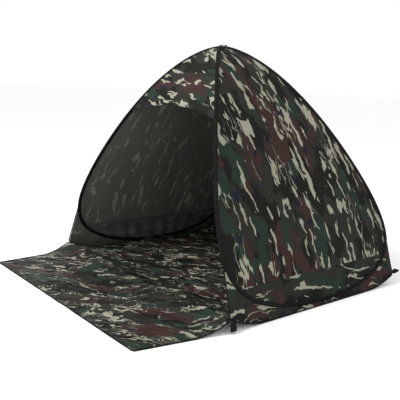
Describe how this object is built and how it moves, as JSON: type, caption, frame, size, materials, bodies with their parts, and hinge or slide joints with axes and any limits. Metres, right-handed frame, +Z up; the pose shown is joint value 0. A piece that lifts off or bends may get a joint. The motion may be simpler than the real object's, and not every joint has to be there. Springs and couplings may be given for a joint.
{
  "type": "pop up tent",
  "caption": "Two spring-steel hoops lean together at the top and hold fabric walls, a floor, an open arched doorway and a mat in front.",
  "frame": {"origin": "on the ground under the centre of the floor", "axes": "+Z up, the doorway faces -Y, +X is the right-hand wall seen from outside the doorway"},
  "size_m": [1.5392, 1.6873, 1.2526],
  "materials": {
    "printed_cloth": "coated polyester with a woodland print",
    "floor_cloth": "heavier coated polyester with the same print",
    "black_binding": "black bias tape",
    "webbing": "black woven webbing",
    "spring_steel": "oiled spring wire",
    "ferrule_steel": "crimped tube"
  },
  "bodies": {
    "right_side": {"right_hoop_wire": "spring_steel", "right_hoop_ferrule": "ferrule_steel", "right_hoop_sleeve": "black_binding", "right_wall_panel": "printed_cloth", "right_lower_band": "printed_cloth", "right_front_gusset": "printed_cloth", "right_rear_gusset": "printed_cloth", "right_door_binding": "black_binding", "right_floor_binding": "black_binding", "back_wall": "printed_cloth", "brow_panel": "printed_cloth", "floor_sheet": "floor_cloth", "apex_tie": "webbing"},
    "left_side": {"left_hoop_wire": "spring_steel", "left_hoop_ferrule": "ferrule_steel", "left_hoop_sleeve": "black_binding", "left_wall_panel": "printed_cloth", "left_lower_band": "printed_cloth", "left_front_gusset": "printed_cloth", "left_rear_gusset": "printed_cloth", "left_door_binding": "black_binding", "left_floor_binding": "black_binding"},
    "front_mat": {"front_mat": "floor_cloth", "mat_edge_binding": "black_binding"},
    "right_front_loop": {"right_front_peg_loop": "webbing"},
    "right_rear_loop": {"right_rear_peg_loop": "webbing"},
    "left_front_loop": {"left_front_peg_loop": "webbing"},
    "left_rear_loop": {"left_rear_peg_loop": "webbing"}
  },
  "joints": [
    {"name": "apex_fold", "type": "hinge", "parent": "right_side", "child": "left_side", "pos_m": [0, -0.057, 1.243], "axis": [0, -1, 0], "range_deg": [0, 56], "stiffness_Nm_per_rad": 6, "springref_deg": -34.38, "deforming": ["back_wall", "brow_panel", "floor_sheet", "front_mat", "mat_edge_binding", "apex_tie"]},
    {"name": "mat_fold", "type": "hinge", "parent": "right_side", "child": "front_mat", "pos_m": [0, -0.5975, 0.058], "axis": [-1, 0, 0], "range_deg": [0, 65]},
    {"name": "right_front_loop_swing", "type": "hinge", "parent": "right_side", "child": "right_front_loop", "pos_m": [0.7591, -0.592, 0.0525], "axis": [0, -1, 0], "range_deg": [0, 90]},
    {"name": "right_rear_loop_flex", "type": "hinge", "parent": "right_side", "child": "right_rear_loop", "pos_m": [0.7435, 0.6005, 0.0597], "axis": [1, 0, 0], "range_deg": [-75, 60], "stiffness_Nm_per_rad": 0.01},
    {"name": "left_front_loop_swing", "type": "hinge", "parent": "left_side", "child": "left_front_loop", "pos_m": [-0.7591, -0.592, 0.0525], "axis": [0, 1, 0], "range_deg": [0, 90]},
    {"name": "left_rear_loop_flex", "type": "hinge", "parent": "left_side", "child": "left_rear_loop", "pos_m": [-0.7435, 0.6005, 0.0597], "axis": [1, 0, 0], "range_deg": [-75, 60], "stiffness_Nm_per_rad": 0.01}
  ]
}
